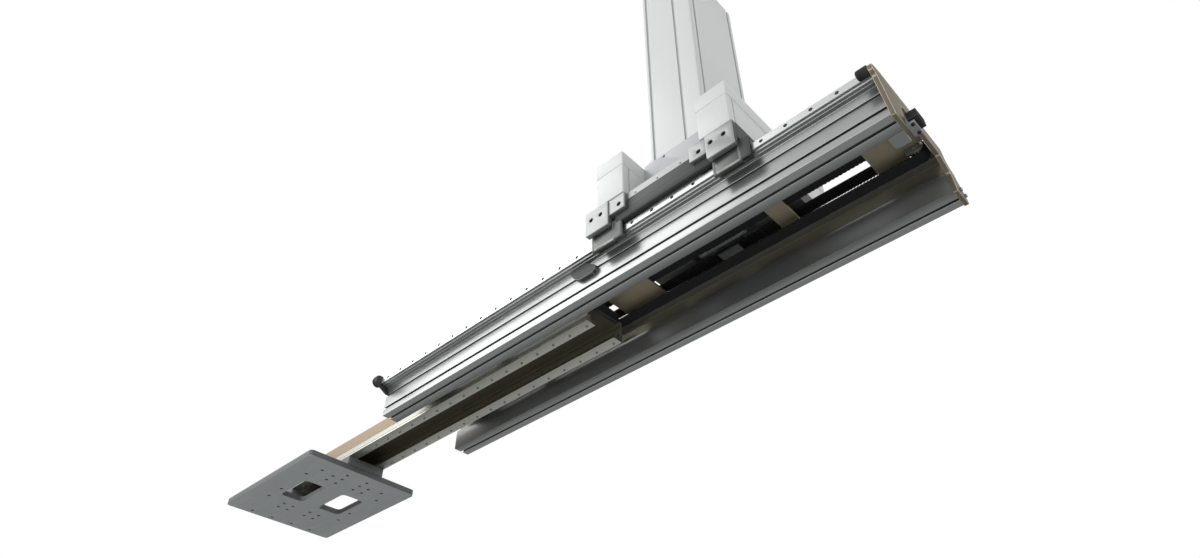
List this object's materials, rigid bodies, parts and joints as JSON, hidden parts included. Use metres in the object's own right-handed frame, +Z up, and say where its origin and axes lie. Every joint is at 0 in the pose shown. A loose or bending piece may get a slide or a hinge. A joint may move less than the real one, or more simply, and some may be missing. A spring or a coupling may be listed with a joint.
{
  "type": "telescopic linear actuator",
  "caption": "Telescopic linear actuator on a column: a belt-driven outer beam on side rails and a coupled inner arm with a tool plate.",
  "frame": {"origin": "centre of the column's top end", "axes": "+X along the travel, from the tool plate towards the beam's end plate; +Y from the near side to the far side; +Z up the column"},
  "size_m": [2.497, 0.43, 1.173],
  "materials": {
    "white_paint": "satin off-white paint",
    "apron_paint": "satin pale violet-grey paint",
    "wall_aluminium": "bright drawn aluminium",
    "tan_anodised": "tan anodised",
    "rail_steel": "ground steel",
    "runner_steel": "dark ground steel",
    "carriage_grey": "grey anodised",
    "bar_bright": "bright aluminium",
    "plate_grey": "grey anodised",
    "belt_rubber": "matt black",
    "bumper_rubber": "matt black",
    "pulley_metal": "turned aluminium",
    "bracket_metal": "grey anodised",
    "black_block": "matt black"
  },
  "bodies": {
    "carriage": {"column": "white_paint", "saddle": "carriage_grey", "clamp_near_left": "carriage_grey", "clamp_near_right": "carriage_grey", "clamp_far_left": "carriage_grey", "clamp_far_right": "carriage_grey", "side_bar_near": "carriage_grey", "side_bar_far": "carriage_grey", "runner_near_left": "runner_steel", "runner_near_right": "runner_steel", "runner_far_left": "runner_steel", "runner_far_right": "runner_steel", "housing_left": "white_paint", "housing_right": "white_paint", "housing_lid_left": "white_paint", "housing_lid_right": "white_paint", "apron_near": "apron_paint", "apron_far": "apron_paint", "drive_bracket": "bracket_metal", "drive_belt_loop": "belt_rubber", "carriage_belt_clamp": "bracket_metal"},
    "drive_pulley": {"drive_pulley": "pulley_metal"},
    "roller_left": {"roller_left": "pulley_metal"},
    "roller_right": {"roller_right": "pulley_metal"},
    "outer_beam": {"wall_near": "wall_aluminium", "wall_far": "wall_aluminium", "cross_plate_left": "tan_anodised", "cross_plate_second": "tan_anodised", "cross_plate_middle": "tan_anodised", "cross_plate_fourth": "tan_anodised", "cross_plate_right": "tan_anodised", "guide_rail_near": "rail_steel", "guide_rail_far": "rail_steel", "end_plate": "tan_anodised", "bumper_right": "bumper_rubber", "bumper_left": "bumper_rubber", "bumper_bracket": "bracket_metal", "connector_bracket": "bracket_metal", "connector": "black_block", "switch_cam": "bracket_metal", "drive_belt": "belt_rubber", "telescope_belt": "belt_rubber", "end_fork_left": "bracket_metal", "end_fork_right": "bracket_metal", "arm_runner_near_left": "runner_steel", "arm_runner_near_right": "runner_steel", "arm_runner_far_left": "runner_steel", "arm_runner_far_right": "runner_steel"},
    "end_pulley_left": {"end_pulley_left": "pulley_metal"},
    "end_pulley_right": {"end_pulley_right": "pulley_metal"},
    "arm": {"arm_channel": "tan_anodised", "arm_bar_near": "bar_bright", "arm_bar_far": "bar_bright", "arm_rail_near": "rail_steel", "arm_rail_far": "rail_steel", "arm_end_block": "black_block", "neck": "plate_grey", "plate_spacer": "plate_grey", "tool_plate": "plate_grey", "arm_belt_clamp": "bracket_metal"}
  },
  "joints": [
    {"name": "beam_slide", "type": "slide", "parent": "carriage", "child": "outer_beam", "axis": [1, 0, 0], "range_m": [-0.25, 0.84]},
    {"name": "arm_slide", "type": "slide", "parent": "outer_beam", "child": "arm", "axis": [1, 0, 0], "range_m": [-0.25, 0.84]},
    {"name": "drive_pulley_turn", "type": "hinge", "parent": "carriage", "child": "drive_pulley", "pos_m": [0, 0, -0.935], "axis": [0, 1, 0], "range_deg": [-431, 1437]},
    {"name": "roller_left_turn", "type": "hinge", "parent": "carriage", "child": "roller_left", "pos_m": [-0.0554, 0, -1.0057], "axis": [0, 1, 0], "range_deg": [-2375, 710]},
    {"name": "roller_right_turn", "type": "hinge", "parent": "carriage", "child": "roller_right", "pos_m": [0.0554, 0, -1.0057], "axis": [0, 1, 0], "range_deg": [-2375, 710]},
    {"name": "end_pulley_left_turn", "type": "hinge", "parent": "outer_beam", "child": "end_pulley_left", "pos_m": [-1.0525, 0.069, -1.04], "axis": [0, 1, 0], "range_deg": [-2678, 800]},
    {"name": "end_pulley_right_turn", "type": "hinge", "parent": "outer_beam", "child": "end_pulley_right", "pos_m": [0.4895, 0.069, -1.04], "axis": [0, 1, 0], "range_deg": [-2678, 800]}
  ],
  "couplings": [
    {"joint": "arm_slide", "follows": "beam_slide", "ratio": 1},
    {"joint": "drive_pulley_turn", "follows": "beam_slide", "rad_per_m": 29.762},
    {"joint": "roller_left_turn", "follows": "beam_slide", "rad_per_m": -49.261},
    {"joint": "roller_right_turn", "follows": "beam_slide", "rad_per_m": -49.261},
    {"joint": "end_pulley_left_turn", "follows": "beam_slide", "rad_per_m": -55.556},
    {"joint": "end_pulley_right_turn", "follows": "beam_slide", "rad_per_m": -55.556}
  ]
}
